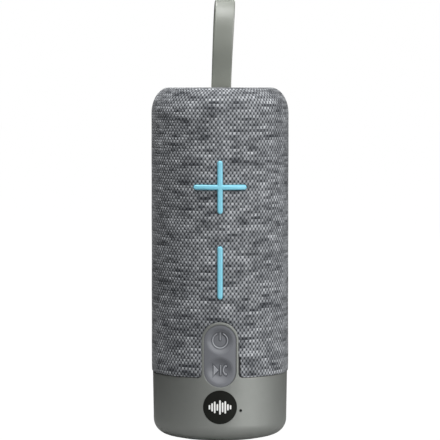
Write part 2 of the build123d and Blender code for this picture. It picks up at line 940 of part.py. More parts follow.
with BuildPart() as port_hinge:
    add(flap_stock)
    split(bisect_by=Plane.YZ.offset(flap_hinge - 0.1), keep=Keep.BOTTOM)
write(port_hinge.part, "port_hinge")

# ---------------------------------------------------------------- cap, pin and strap
with BuildPart() as top_cap:
    with BuildSketch(Plane.XY.offset(chassis_high)):
        Circle(cap_radius)
    extrude(amount=cap_top - chassis_high)
    fillet(top_cap.edges().group_by(Axis.Z)[-1], cap_round)
    with BuildSketch(Plane.XY.offset(chassis_high)):
        Circle(cap_radius - cap_skirt)
        Rectangle(pocket_x + 5, pocket_y + 5, mode=Mode.SUBTRACT)
    extrude(amount=cap_hollow, mode=Mode.SUBTRACT)
    with BuildSketch(Plane.XY.offset(cap_top)):
        RectangleRounded(pocket_x, pocket_y, 3)
    extrude(amount=pocket_floor - cap_top, mode=Mode.SUBTRACT)
    with BuildSketch(Plane.YZ.offset(-pin_half)):
        with Locations((0, pin_height)):
            Circle(pin_radius)
    extrude(amount=far, mode=Mode.SUBTRACT)
    with BuildSketch(Plane.XY.offset(chassis_high)):
        with Locations(*cap_screw_places):
            Circle(cap_screw_bore)
    extrude(amount=far, mode=Mode.SUBTRACT)
write(top_cap.part, "top_cap")

cap_screws = upright_screws(cap_screw_places, 1.7, pocket_floor, pocket_floor + 1.2, 0.9, 167.5)
write(cap_screws.part, "cap_screws")

with BuildPart() as strap_pin:
    with BuildSketch(Plane.YZ.offset(-pin_half)):
        with Locations((0, pin_height)):
            Circle(pin_radius)
    extrude(amount=2 * pin_half)
write(strap_pin.part, "strap_pin")


def hull_of(low_radius, low_height, high_radius, high_height):
    """The outline of a belt around two circles."""
    with BuildSketch() as outline:
        with BuildLine():
            CenterArc((0, low_height), low_radius, 0, 360)
            CenterArc((0, high_height), high_radius, 0, 360)
        make_hull()
    return outline.sketch


strap_centre = strap_top - strap_bend
with BuildPart() as carry_strap:
    with BuildSketch(Plane.YZ.offset(strap_x - strap_width / 2)):
        add(hull_of(strap_eye, pin_height, strap_bend, strap_centre))
        inside = hull_of(
            strap_slot, pin_height + strap_slot_rise, strap_bend - strap_thickness, strap_centre
        )
        add(inside, mode=Mode.SUBTRACT)
        with Locations((0, pin_height)):
            Circle(pin_radius + pin_clearance, mode=Mode.SUBTRACT)
    extrude(amount=strap_width)
write(carry_strap.part, "carry_strap")
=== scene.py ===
import json
import math

import bpy
import numpy as np
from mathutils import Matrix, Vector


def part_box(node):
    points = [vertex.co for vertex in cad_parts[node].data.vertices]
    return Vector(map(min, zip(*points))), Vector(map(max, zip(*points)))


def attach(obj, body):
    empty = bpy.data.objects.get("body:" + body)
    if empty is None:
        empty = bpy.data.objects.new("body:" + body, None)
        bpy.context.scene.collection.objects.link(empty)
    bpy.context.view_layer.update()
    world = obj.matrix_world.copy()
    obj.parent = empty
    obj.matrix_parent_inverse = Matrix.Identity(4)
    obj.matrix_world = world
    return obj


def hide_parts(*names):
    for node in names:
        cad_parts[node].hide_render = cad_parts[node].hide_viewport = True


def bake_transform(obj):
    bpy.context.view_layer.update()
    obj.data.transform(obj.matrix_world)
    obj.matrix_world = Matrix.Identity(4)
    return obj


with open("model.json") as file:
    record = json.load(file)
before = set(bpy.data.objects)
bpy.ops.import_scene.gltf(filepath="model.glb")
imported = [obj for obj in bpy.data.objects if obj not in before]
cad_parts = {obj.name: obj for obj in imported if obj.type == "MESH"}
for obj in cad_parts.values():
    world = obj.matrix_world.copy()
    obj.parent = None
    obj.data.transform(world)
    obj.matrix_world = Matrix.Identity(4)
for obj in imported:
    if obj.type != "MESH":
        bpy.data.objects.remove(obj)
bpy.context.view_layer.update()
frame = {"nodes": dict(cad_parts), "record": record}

# ---------------------------------------------------------------- sizes, in millimetres
MM = 0.001


def extent(node):
    """Lowest and highest corner of a CAD node in millimetres."""
    low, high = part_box(node)
    return [c / MM for c in low], [c / MM for c in high]


sleeve_low, sleeve_high = extent("fabric_sleeve")
cup_high = extent("base_cup")[1]
cap_high = extent("top_cap")[1]
strap_low, strap_high = extent("carry_strap")
pin_low, pin_high = extent("strap_pin")
plus_low, plus_high = extent("plus_button")
minus_low, minus_high = extent("minus_button")
power_low, power_high = extent("power_key")
play_low, play_high = extent("play_key")
badge_low, badge_high = extent("badge")
pad_low, pad_high = extent("keypad")

# sleeve: an elliptical shoulder up to the cap, and a cut-out round the base's tongue
SLEEVE_RADIUS = sleeve_high[0]
SHOULDER_RUN = 9.5
SHOULDER_RISE = 13.7
CAP_EDGE = cap_high[0] + 0.25
TONGUE_HALF = 9.55
TONGUE_ROOT = 2.0
GAP_TOP = 46.0  # the cloth stands further off the tongue below this height
GAP_RIGHT = 1.0
GAP_LEFT = 0.35
CLOTH_ROLL = 0.4
CLOTH_THICK = 0.8

# base wall: its radius above the rounded corner, and how it widens upwards
CUP_RADIUS = 35.0
CUP_CORNER_TOP = 8.5
CUP_DRAFT = 0.0155

# volume keys
BAR_HALF = 13.6
BAR_RADIUS = 1.35
PLUS_HEIGHT = (plus_low[2] + plus_high[2]) / 2
MINUS_HEIGHT = (minus_low[2] + minus_high[2]) / 2

# pad and its two dished keys
POWER_HEIGHT = (power_low[2] + power_high[2]) / 2
PLAY_HEIGHT = (play_low[2] + play_high[2]) / 2
PAD_FLANGE = 1.1
PAD_HALF = pad_high[0] - PAD_FLANGE
PAD_LOW = pad_low[2] + PAD_FLANGE
PAD_HIGH = pad_high[2] - PAD_FLANGE
PAD_RECESS = 0.4
KEY_RADIUS = 6.5
DISH_RADIUS = 7.3
DISH_FLOOR = 2.7
DISH_DEPTH = 1.8
MARK_RISE = 0.4


def cup_radius(height):
    """Outer radius of the drafted base wall."""
    return CUP_RADIUS + CUP_DRAFT * (height - CUP_CORNER_TOP)


def srgb(red, green, blue):
    """A colour given as 0 to 255, as linear RGBA."""
    channels = [c / 255 for c in (red, green, blue)]
    linear = [c / 12.92 if c <= 0.04045 else ((c + 0.055) / 1.055) ** 2.4 for c in channels]
    return (*linear, 1.0)


# ---------------------------------------------------------------- materials
class Graph:
    """Short calls for building one material's node tree."""

    def __init__(self, name):
        self.material = bpy.data.materials.new(name)
        self.material.use_nodes = True
        tree = self.material.node_tree
        self.nodes = tree.nodes
        self.links = tree.links
        self.shader = self.nodes["Principled BSDF"]

    def put(self, value, socket):
        if isinstance(value, bpy.types.NodeSocket):
            self.links.new(value, socket)
        elif value is not None:
            socket.default_value = value

    def math(self, operation, *values):
        node = self.nodes.new("ShaderNodeMath")
        node.operation = operation
        for value, socket in zip(values, node.inputs):
            self.put(value, socket)
        return node.outputs[0]

    def mix(self, factor, first, second):
        node = self.nodes.new("ShaderNodeMix")
        node.data_type = "RGBA"
        self.put(factor, node.inputs[0])
        self.put(first, node.inputs[6])
        self.put(second, node.inputs[7])
        return node.outputs[2]

    def place(self):
        """Object coordinates in metres."""
        return self.nodes.new("ShaderNodeTexCoord").outputs["Object"]

    def split(self, vector):
        node = self.nodes.new("ShaderNodeSeparateXYZ")
        self.put(vector, node.inputs[0])
        return node.outputs

    def join(self, x, y, z=0.0):
        node = self.nodes.new("ShaderNodeCombineXYZ")
        for value, socket in zip((x, y, z), node.inputs):
            self.put(value, socket)
        return node.outputs[0]

    def noise(self, vector, scale, detail=2.0, roughness=0.5):
        node = self.nodes.new("ShaderNodeTexNoise")
        self.put(vector, node.inputs["Vector"])
        node.inputs["Scale"].default_value = scale
        node.inputs["Detail"].default_value = detail
        node.inputs["Roughness"].default_value = roughness
        return node.outputs["Fac"]

    def speckle(self, vector):
        """One random value for each whole-number cell."""
        node = self.nodes.new("ShaderNodeTexWhiteNoise")
        node.noise_dimensions = "3D"
        self.put(vector, node.inputs["Vector"])
        return node.outputs["Value"]

    def spread(self, value, low, high, to_low, to_high):
        """Maps one range to another, clamped."""
        node = self.nodes.new("ShaderNodeMapRange")
        for number, socket in zip((value, low, high, to_low, to_high), node.inputs):
            self.put(number, socket)
        return node.outputs[0]

    def bump(self, height, distance, strength=1.0, under=None):
        node = self.nodes.new("ShaderNodeBump")
        node.inputs["Strength"].default_value = strength
        node.inputs["Distance"].default_value = distance
        self.put(height, node.inputs["Height"])
        if under is not None:
            self.put(under, node.inputs["Normal"])
        return node.outputs[0]

    def finish(self, colour, roughness, normal=None, **constants):
        self.put(colour, self.shader.inputs["Base Color"])
        self.put(roughness, self.shader.inputs["Roughness"])
        if normal is not None:
            self.put(normal, self.shader.inputs["Normal"])
        for name, value in constants.items():
            self.shader.inputs[name.replace("_", " ")].default_value = value
        return self.material


def moulded(name, colour, roughness, grain=0.00002, grain_scale=2600, mottle=0.06, **constants):
    """Moulded plastic or rubber: fine grain, faint mottling and uneven gloss."""
    g = Graph(name)
    place = g.place()
    cloud = g.noise(place, 55, 3)
    fine = g.noise(place, grain_scale, 2, 0.6)
    darker = tuple(c * (1 - mottle) for c in colour[:3]) + (1.0,)
    lighter = tuple(min(1.0, c * (1 + mottle)) for c in colour[:3]) + (1.0,)
    body = g.mix(cloud, darker, lighter)
    gloss = g.spread(g.noise(place, 240, 3), 0.3, 0.7, roughness - 0.04, roughness + 0.04)
    return g.finish(body, gloss, g.bump(fine, grain), **constants)


def silicone():
    """Matt silicone, with a painted highlight that makes the raised marks paler and painted shade that
    darkens the crease round them.
    """
    g = Graph("pad_silicone")
    place = g.place()
    cloud = g.noise(place, 60, 3)
    fine = g.noise(place, 2600, 2, 0.6)
    body = g.mix(cloud, srgb(101, 103, 108), srgb(110, 112, 117))
    painted_mark_light = g.nodes.new("ShaderNodeAttribute")
    painted_mark_light.attribute_name = "painted_mark_light"
    # painted highlight: the raised marks are painted paler where the attribute is above 0
    body = g.mix(g.spread(painted_mark_light.outputs["Fac"], 0.0, 1.0, 0.0, 1.0), body, srgb(146, 148, 153))
    # painted shade: the crease round the marks is painted darker where the attribute is below 0
    body = g.mix(g.spread(painted_mark_light.outputs["Fac"], -1.0, 0.0, 1.0, 0.0), body, srgb(70, 72, 76))
    gloss = g.spread(g.noise(place, 240, 3), 0.3, 0.7, 0.46, 0.54)
    return g.finish(body, gloss, g.bump(fine, 0.00003))


def machined(name, colour, roughness):
    """Plated or turned metal with fine drawn lines."""
    g = Graph(name)
    x, y, z = g.split(g.place())
    lines = g.noise(g.join(g.math("MULTIPLY", x, 0.12), g.math("MULTIPLY", y, 0.12), z), 4200, 2)
    tone = g.mix(lines, tuple(c * 0.85 for c in colour[:3]) + (1.0,), colour)
    return g.finish(tone, g.spread(lines, 0.3, 0.7, roughness - 0.06, roughness + 0.08),
                    g.bump(lines, 0.000008), Metallic=1.0)


STITCHES_AROUND = 106
WEAVE_WIDTH = 2 * math.pi * SLEEVE_RADIUS / STITCHES_AROUND
WEAVE_HEIGHT = 2.88  # two courses


def knitted():
    """Melange knit: slanted light stitches in a diamond lattice over dark holes, in streaks, with
    painted shade in the creases between courses.
    """
    g = Graph("knit")
    weave = g.nodes.new("ShaderNodeUVMap")
    weave.uv_map = "weave"
    u, v, _ = g.split(weave.outputs[0])
    wobble = g.math("MULTIPLY", g.math("SUBTRACT", g.noise(g.join(u, v), 0.55, 2), 0.5), 0.5)
    x = g.math("ADD", u, wobble)
    y = g.math("ADD", v, g.math("MULTIPLY", wobble, 0.35))
    turn = 2 * math.pi
    lean = g.math("MULTIPLY", g.math("SINE", g.math("MULTIPLY", y, 2 * turn)), -0.022)
    leaned = g.math("ADD", x, lean)
    across = g.math("COSINE", g.math("MULTIPLY", leaned, turn))
    along = g.math("COSINE", g.math("MULTIPLY", y, turn))
    lattice = g.math("MULTIPLY_ADD", g.math("MULTIPLY", across, along), 0.5, 0.5)
    # the course and the stitch at this place
    course = g.math("FLOOR", g.math("MULTIPLY_ADD", y, 2.0, 0.5))
    shift = g.math("MULTIPLY", course, 0.5)
    stitch = g.math("FLOOR", g.math("ADD", g.math("ADD", leaned, shift), 0.5))
    each = g.speckle(g.join(stitch, course, 3.0))
    yarn = g.noise(g.join(g.math("MULTIPLY", x, 0.2), g.math("MULTIPLY", course, 7.31)), 1.0, 3, 0.6)
    along_course = g.join(g.math("MULTIPLY", x, 0.06), g.math("MULTIPLY", course, 5.17), 9.0)
    run = g.noise(along_course, 1.0, 2, 0.6)
    patch = g.noise(g.join(g.math("MULTIPLY", x, 0.3), g.math("MULTIPLY", y, 1.1)), 1.0, 3)
    melange = g.math("ADD", g.math("MULTIPLY", yarn, 0.55), g.math("MULTIPLY", patch, 0.17))
    melange = g.math("ADD", melange, g.math("MULTIPLY", run, 0.28))
    fibre = g.noise(g.join(g.math("MULTIPLY", leaned, 26.0), g.math("MULTIPLY", y, 7.0)), 1.0, 2, 0.6)
    tone = g.spread(melange, 0.385, 0.615, 0.0, 1.0)
    light = g.mix(tone, srgb(76, 79, 84), srgb(212, 215, 219))
    light = g.mix(g.spread(each, 0.0, 1.0, 0.0, 0.36), light, srgb(70, 74, 80))
    dark = g.mix(tone, srgb(15, 17, 20), srgb(55, 58, 63))
    ridge = g.math("MULTIPLY_ADD", g.math("COSINE", g.math("MULTIPLY", y, 2 * turn)), 0.5, 0.5)
    # painted shade: the colour darkens in the creases between the courses
    bright = g.spread(ridge, 0.0, 1.0, 0.78, 1.0)
    cover = g.math("MULTIPLY", g.spread(lattice, 0.14, 0.68, 0.0, 1.0), bright)
    colour = g.mix(cover, dark, light)
    colour = g.mix(g.spread(fibre, 0.3, 0.7, 0.0, 0.2), colour, srgb(60, 62, 66))
    height = g.math("ADD", g.math("POWER", lattice, 0.7), g.math("MULTIPLY", fibre, 0.12))
    height = g.math("ADD", height, g.math("MULTIPLY", ridge, 0.3))
    normal = g.bump(height, 0.00028)
    return g.finish(colour, 0.88, normal, Sheen_Weight=0.13, Sheen_Roughness=0.4,
                    Specular_IOR_Level=0.25)


def printed(name, colour, roughness, **constants):
    """Ink or lacquer with faint unevenness."""
    g = Graph(name)
    cloud = g.noise(g.place(), 900, 3)
    tone = g.mix(cloud, tuple(c * 0.9 for c in colour[:3]) + (1.0,), colour)
    return g.finish(tone, roughness, g.bump(cloud, 0.000004), **constants)


def board_finish():
    """Green solder mask with paler tracks."""
    g = Graph("solder_mask")
    place = g.place()
    tracks = g.noise(place, 900, 0)
    track = g.spread(g.math("ABSOLUTE", g.math("SUBTRACT", tracks, 0.5)), 0.0, 0.02, 1.0, 0.0)
    tone = g.mix(track, srgb(20, 84, 48), srgb(52, 128, 84))
    return g.finish(tone, 0.35, g.bump(track, 0.00003))


MATERIALS = {
    "base_plastic": moulded("base_plastic", (0.252, 0.262, 0.247, 1), 0.5, mottle=0.03,
                            Metallic=0.6),
    "cap_plastic": moulded("cap_plastic", (0.22, 0.23, 0.22, 1), 0.6, Specular_IOR_Level=0.3),
    "inner_plastic": moulded("inner_plastic", srgb(38, 39, 42), 0.55),
    "knit_grey": knitted(),
    "key_blue": moulded("key_blue", srgb(127, 199, 220), 0.38, mottle=0.02),
    "pad_silicone": silicone(),
    "foot_rubber": moulded("foot_rubber", srgb(40, 41, 43), 0.8, grain=0.00005,
                           grain_scale=1800),
    "flap_rubber": moulded("flap_rubber", srgb(122, 125, 121), 0.66),
    "strap_rubber": moulded("strap_rubber", srgb(125, 128, 121), 0.36, mottle=0.03,
                            Specular_IOR_Level=0.8),
    "surround_rubber": moulded("surround_rubber", srgb(24, 24, 25), 0.6),
    "badge_black": printed("badge_black", srgb(22, 23, 20), 0.5, Specular_IOR_Level=0.15),
    "cone_black": moulded("cone_black", srgb(34, 34, 36), 0.75, grain=0.00006,
                          grain_scale=1400),
    "part_black": moulded("part_black", srgb(26, 26, 28), 0.5),
    "circuit_board": board_finish(),
    "screw_steel": machined("screw_steel", (0.62, 0.62, 0.63, 1), 0.34),
    "pin_steel": machined("pin_steel", (0.6, 0.6, 0.61, 1), 0.42),
    "frame_steel": moulded("frame_steel", srgb(30, 30, 32), 0.42),
    "magnet_steel": machined("magnet_steel", (0.5, 0.5, 0.51, 1), 0.36),
    "plate_aluminium": machined("plate_aluminium", (0.74, 0.75, 0.76, 1), 0.3),
    "socket_steel": machined("socket_steel", (0.72, 0.72, 0.73, 1), 0.28),
    "cell_wrap": printed("cell_wrap", srgb(42, 92, 150), 0.3),
}
PRINT_WHITE = printed("print_white", srgb(236, 236, 234), 0.45)

for part in frame["record"]["subparts"]:
    for slot in frame["nodes"][part["node"]].material_slots:
        slot.material = MATERIALS[part["material_slot"]]


# ---------------------------------------------------------------- mesh helpers
def mesh_piece(name, points, faces, slot, body=None, material=None):
    """A smooth mesh in metres from points in millimetres, riding on a body if one is given."""
    mesh = bpy.data.meshes.new(name)
    mesh.from_pydata((np.asarray(points) * MM).tolist(), [], faces)
    mesh.validate()
    mesh.polygons.foreach_set("use_smooth", [True] * len(mesh.polygons))
    piece = bpy.data.objects.new(name, mesh)
    bpy.context.scene.collection.objects.link(piece)
    mesh.materials.append(material or MATERIALS[slot])
    if body:
        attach(piece, body)
    return piece


def capsule(x, z, start, end, radius):
    """Signed distance to a round-ended bar, negative inside."""
    along = np.array(end, float) - np.array(start, float)
    size = max(float(along @ along), 1e-9)
    t = np.clip(((x - start[0]) * along[0] + (z - start[1]) * along[1]) / size, 0, 1)
    return np.hypot(x - start[0] - t * along[0], z - start[1] - t * along[1]) - radius


def rolled_sheet(columns, rows, inside, locate, roll, thick, wrap=0.0):
    """A grid trimmed to the region where inside() is positive, with a rolled edge and a back.

    inside() gives the distance to the region's edge. locate() gives the point at a flat place, sunk by
    some depth. wrap is the length round a closed sheet. Returns the points, the faces and each point's
    place on the flat sheet.
    """
    step = 0.01

    def slopes(u, v):
        slope_u = (inside(u + step, v) - inside(u - step, v)) / (2 * step)
        slope_v = (inside(u, v + step) - inside(u, v - step)) / (2 * step)
        return slope_u, slope_v, np.maximum(np.hypot(slope_u, slope_v), 0.5)

    u, v = np.meshgrid(columns, rows, indexing="ij")
    count_u, count_v = u.shape
    index = np.arange(count_u * count_v).reshape(count_u, count_v)
    across = np.arange(count_u if wrap else count_u - 1)
    a, b = np.meshgrid(across, np.arange(count_v - 1), indexing="ij")
    c = (a + 1) % count_u
    quads = np.stack([index[a, b], index[c, b], index[c, b + 1], index[a, b + 1]], -1).reshape(-1, 4)
    quads = quads[(inside(u, v) - roll).ravel()[quads].max(axis=1) > 1e-6]
    for _ in range(5):
        short = np.clip(inside(u, v) - roll, -3, 0)
        slope_u, slope_v, size = slopes(u, v)
        u = u - short * slope_u / size**2
        v = v - short * slope_v / size**2
    used, quads = np.unique(quads, return_inverse=True)
    quads = quads.reshape(-1, 4)
    flat = np.stack([u.ravel()[used], v.ravel()[used]], -1)
    edges = np.concatenate([quads[:, [k, (k + 1) % 4]] for k in range(4)])
    _, where, times = np.unique(np.sort(edges, axis=1), axis=0, return_index=True, return_counts=True)
    rim = edges[where[times == 1]]
    ids = np.unique(rim)
    slope_u, slope_v, size = slopes(flat[ids, 0], flat[ids, 1])
    outward = np.stack([-slope_u / size, -slope_v / size], -1)
    place = {int(p): k for k, p in enumerate(ids)}
    layers = [locate(flat[:, 0], flat[:, 1], np.zeros(len(flat)))]
    flats = [flat]
    faces = quads.tolist()
    previous = {int(p): int(p) for p in ids}
    total = len(flat)
    arc = [(math.sin(t), 1 - math.cos(t)) for t in np.radians((25, 50, 75, 90))]
    rings = [(roll * out, roll * down) for out, down in arc] + [(roll, thick)]
    for out, sink in rings:
        ring = flat[ids] + outward * out
        layers.append(locate(ring[:, 0], ring[:, 1], np.full(len(ids), sink)))
        flats.append(ring)
        fresh = {p: total + k for p, k in place.items()}
        faces += [[previous[p], fresh[p], fresh[q], previous[q]] for p, q in rim.tolist()]
        previous = fresh
        total += len(ids)
    layers.append(locate(flat[:, 0], flat[:, 1], np.full(len(flat), thick)))
    flats.append(flat)
    faces += [[previous[p], total + p, total + q, previous[q]] for p, q in rim.tolist()]
    faces += (quads[:, ::-1] + total).tolist()
    return np.concatenate(layers), faces, np.concatenate(flats)


def paint_uv(piece, flat, faces, width, height, wrap=0.0):
    """Stores each corner's place on the flat sheet as the UV map named weave."""
    layer = piece.data.uv_layers.new(name="weave")
    values = np.empty((len(piece.data.loops), 2))
    ends = np.array([loop.vertex_index for loop in piece.data.loops])
    values[:] = flat[ends]
    if wrap:
        start = np.array([p.loop_start for p in piece.data.polygons])
        sizes = np.array([p.loop_total for p in piece.data.polygons])
        owner = np.repeat(np.arange(len(start)), sizes)
        top = np.maximum.reduceat(values[:, 0], start)
        crossing = top[owner] - values[:, 0] > wrap / 2
        values[crossing, 0] += wrap
    values /= (width, height)
    layer.data.foreach_set("uv", values.ravel())


# ---------------------------------------------------------------- fabric sleeve
HEM = sleeve_low[2]
SHOULDER = sleeve_high[2] - SHOULDER_RISE
SHOULDER_R = SLEEVE_RADIUS - SHOULDER_RUN
AROUND = 2 * math.pi * SLEEVE_RADIUS

# the section as a table of arc length, radius and height
turn_angle = np.linspace(0, math.pi / 2, 400)
shoulder_r = SHOULDER_R + SHOULDER_RUN * np.cos(turn_angle)
shoulder_z = SHOULDER + SHOULDER_RISE * np.sin(turn_angle)
section_r = np.concatenate([[SLEEVE_RADIUS], shoulder_r, [CAP_EDGE]])
section_z = np.concatenate([[HEM], shoulder_z, [sleeve_high[2]]])
section_s = np.concatenate([[0], np.cumsum(np.hypot(np.diff(section_r), np.diff(section_z)))])
SECTION = section_s[-1]
LOOSENESS = 0.06  # the cloth's gentle unevenness
TUCK_REACH = 4  # the cloth dips towards its edges over this distance
TUCK_DEPTH = 0.22
SEAM_DEPTH = 0.45
SEAM_WIDTH = 0.5


def smooth(value, low, high):
    """Eases from 0 to 1 between two values."""
    t = np.clip((value - low) / (high - low), 0, 1)
    return t * t * (3 - 2 * t)


def sleeve_inside(u, v):
    """Distance to the nearest edge of the cloth: hem, tongue, volume keys or the ring at the top."""
    x = SLEEVE_RADIUS * np.sin(np.clip(u / SLEEVE_RADIUS, -math.pi / 2, math.pi / 2))
    z = v + HEM
    centre = cup_high[2] - TONGUE_HALF
    slack = GAP_RIGHT * smooth(x, 0, 4) * smooth(-z, -GAP_TOP, 3 - GAP_TOP)
    slack = slack + GAP_LEFT * smooth(-x, 0, 4) * smooth(-z, 8 - GAP_TOP, 12 - GAP_TOP)
    tongue = capsule(x, z, (0, 0), (0, centre), TONGUE_HALF + 0.05) - slack
    a = np.maximum(TONGUE_ROOT - tongue, 0)
    b = np.maximum(TONGUE_ROOT - v, 0)
    lower = np.maximum(TONGUE_ROOT, np.minimum(tongue, v)) - np.hypot(a, b)
    reach = BAR_HALF - BAR_RADIUS
    window = BAR_RADIUS + 0.05
    bars = [
        capsule(x, z, (0, PLUS_HEIGHT - reach), (0, PLUS_HEIGHT + reach), window),
        capsule(x, z, (-reach, PLUS_HEIGHT), (reach, PLUS_HEIGHT), window),
        capsule(x, z, (0, MINUS_HEIGHT - reach), (0, MINUS_HEIGHT + reach), window),
    ]
    front = np.minimum.reduce([lower, *bars])
    behind = np.abs(u) > SLEEVE_RADIUS * math.pi / 2
    return np.minimum(np.where(behind, v, front), SECTION - v)


def sleeve_place(u, v, sink):
    """The cloth's outside at a place on the flat sheet, sunk by some depth."""
    r = np.interp(v, section_s, section_r)
    z = np.interp(v, section_s, section_z)
    step = 0.05  # along the section, for its slope
    lean_r = np.interp(v + step, section_s, section_r) - np.interp(v - step, section_s, section_r)
    lean_z = np.interp(v + step, section_s, section_z) - np.interp(v - step, section_s, section_z)
    size = np.maximum(np.hypot(lean_r, lean_z), 1e-6)
    out_r, out_z = lean_z / size, -lean_r / size
    loose = LOOSENESS * np.sin(u / 8.3 + 1.1 * np.sin(v / 13)) * np.sin(v / 9.1 + 0.7)
    edge = np.clip(sleeve_inside(u, v), 0, TUCK_REACH)
    tuck = TUCK_DEPTH * (1 - edge / TUCK_REACH) ** 2
    seam = SEAM_DEPTH * np.exp(-(((AROUND / 2 - np.abs(u)) / SEAM_WIDTH) ** 2))
    sunk = sink + seam + tuck + (LOOSENESS - loose) * edge / TUCK_REACH
    r = r - sunk * out_r
    z = z - sunk * out_z
    angle = u / SLEEVE_RADIUS
    return np.stack([r * np.sin(angle), -r * np.cos(angle), z], -1)


def graded(stops):
    """Grid lines between stops, each with the spacing given beside it."""
    lines = [stops[0][0]]
    for (start, spacing), (end, _) in zip(stops, stops[1:]):
        number = max(1, round((end - start) / spacing))
        lines += list(np.linspace(start, end, number + 1)[1:])
    return np.array(lines)


half = AROUND / 2
around_stops = [(-half, 0.35), (3 - half, 1.4), (-15, 0.62), (15, 1.4), (half - 3, 0.35), (half, 1)]
columns = graded(around_stops)[:-1]
rows = graded([(0, 0.55), (34, 0.8), (38, 0.7), (116, 1.1), (SECTION - 22, 0.7), (SECTION, 1)])
points, faces, flat = rolled_sheet(columns, rows, sleeve_inside, sleeve_place, CLOTH_ROLL,
                                   CLOTH_THICK, AROUND)
sleeve = mesh_piece("knitted_sleeve", points, faces, "knit_grey", "body")
paint_uv(sleeve, flat, faces, WEAVE_WIDTH, WEAVE_HEIGHT, wrap=AROUND)
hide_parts("fabric_sleeve")


# ---------------------------------------------------------------- silicone pad and its two keys
def dish(x, z, height):
    """Depth of a key's soft dish."""
    reach = np.hypot(x, z - height)
    return DISH_DEPTH * (1 - smooth(reach, DISH_FLOOR, DISH_RADIUS))


def pad_face(x, z, sink):
    """The pad's curved face, sunk by some depth."""
    radius = cup_radius(z) - PAD_RECESS - sink
    return np.stack([x, -np.sqrt(np.maximum(radius**2 - x**2, 1)), z], -1)


def pad_inside(x, z):
    outline = -capsule(x, z, (0, PAD_LOW + PAD_HALF), (0, PAD_HIGH - PAD_HALF), PAD_HALF)
    power = np.hypot(x, z - POWER_HEIGHT) - KEY_RADIUS
    play = np.hypot(x, z - PLAY_HEIGHT) - KEY_RADIUS
    return np.minimum.reduce([outline, power, play])


def pad_place(x, z, sink):
    return pad_face(x, z, dish(x, z, POWER_HEIGHT) + dish(x, z, PLAY_HEIGHT) + sink)


columns = np.linspace(-PAD_HALF, PAD_HALF, 66)
rows = np.linspace(PAD_LOW, PAD_HIGH, 130)
points, faces, flat = rolled_sheet(columns, rows, pad_inside, pad_place, 0.06, 1.0)
pad = mesh_piece("soft_pad", points, faces, "pad_silicone", "body")
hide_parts("keypad")


def power_mark(x, z):
    """A broken ring and a bar."""
    ring = np.abs(np.hypot(x, z) - 3.8) - 0.3
    gap = np.maximum(np.abs(x) - 1.5, -z)
    ring = np.maximum(ring, -gap)
    return np.minimum(ring, capsule(x, z, (0, 0.4), (0, 3.9), 0.28))


def play_mark(x, z):
    """A triangle, a bar and a handset."""
    slope = math.hypot(2.5, 2.7)
    triangle = np.maximum((np.abs(z) * 2.5 + (x + 0.9) * 2.7) / slope, -3.4 - x)
    bar = capsule(x, z, (0.25, -2.4), (0.25, 2.4), 0.26)
    handset = np.maximum(np.abs(np.hypot(x - 4.4, z) - 2.75) - 0.34, x - 3.0)
    ends = np.minimum(np.hypot(x - 2.9, z - 2.1), np.hypot(x - 2.9, z + 2.1)) - 0.55
    return np.minimum.reduce([triangle, bar, handset, ends])


def dished_key(name, height, mark, body, node):
    """A soft round key whose dish runs on from the pad, with a raised mark."""

    def key_inside(x, z):
        return KEY_RADIUS - np.hypot(x, z - height)

    def key_place(x, z, sink):
        raised = MARK_RISE * np.clip(0.5 - mark(x, z - height) / 0.3, 0, 1)
        return pad_face(x, z, dish(x, z, height) - raised * (sink == 0) + sink)

    spread = np.linspace(-KEY_RADIUS, KEY_RADIUS, 120)
    points, faces, flat = rolled_sheet(spread, spread + height, key_inside, key_place, 0.06, 1.4)
    key = mesh_piece(name, points, faces, "pad_silicone", body)
    away = mark(flat[:, 0], flat[:, 1] - height)
    # painted light for the pad's finish: 1 on the mark for its painted highlight, below 0 in a ring
    # round it for painted shade in the crease
    painted_mark_light = np.clip(0.5 - away / 0.2, 0, 1) - np.exp(-(((away - 0.32) / 0.2) ** 2))
    key.data.attributes.new("painted_mark_light", "FLOAT", "POINT").data.foreach_set("value", painted_mark_light)
    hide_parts(node)


dished_key("power_dish", POWER_HEIGHT, power_mark, "power", "power_key")
dished_key("play_dish", PLAY_HEIGHT, play_mark, "play", "play_key")


# ---------------------------------------------------------------- badge
BAR_PITCH = 1.35
BAR_END = 0.42  # radius of a printed bar's round ends
PRINT_RISE = 0.13


def badge_mark():
    """A row of level bars, printed on the badge."""
    heights = (1.5, 3.4, 5.2, 2.6, 6.6, 4.2, 5.6, 2.4, 1.4)
    middle = (badge_low[2] + badge_high[2]) / 2
    points = []
    faces = []
    for k, tall in enumerate(heights):
        x = (k - len(heights) // 2) * BAR_PITCH

        def bar_inside(u, v, x=x, tall=tall):
            return -capsule(u, v, (x, middle - tall / 2), (x, middle + tall / 2), BAR_END)

        def bar_place(u, v, sink):
            radius = cup_radius(v) + PRINT_RISE - sink
            return np.stack([u, -np.sqrt(radius**2 - u**2), v], -1)

        columns = np.linspace(x - BAR_END, x + BAR_END, 7)
        reach = tall / 2 + BAR_END
        rows = np.linspace(middle - reach, middle + reach, int(tall * 5) + 8)
        new_points, new_faces, _ = rolled_sheet(columns, rows, bar_inside, bar_place, 0.02, 0.05)
        faces += [[i + len(points) for i in face] for face in new_faces]
        points += new_points.tolist()
    return mesh_piece("badge_print", points, faces, "badge_black", "body", PRINT_WHITE)


badge_mark()


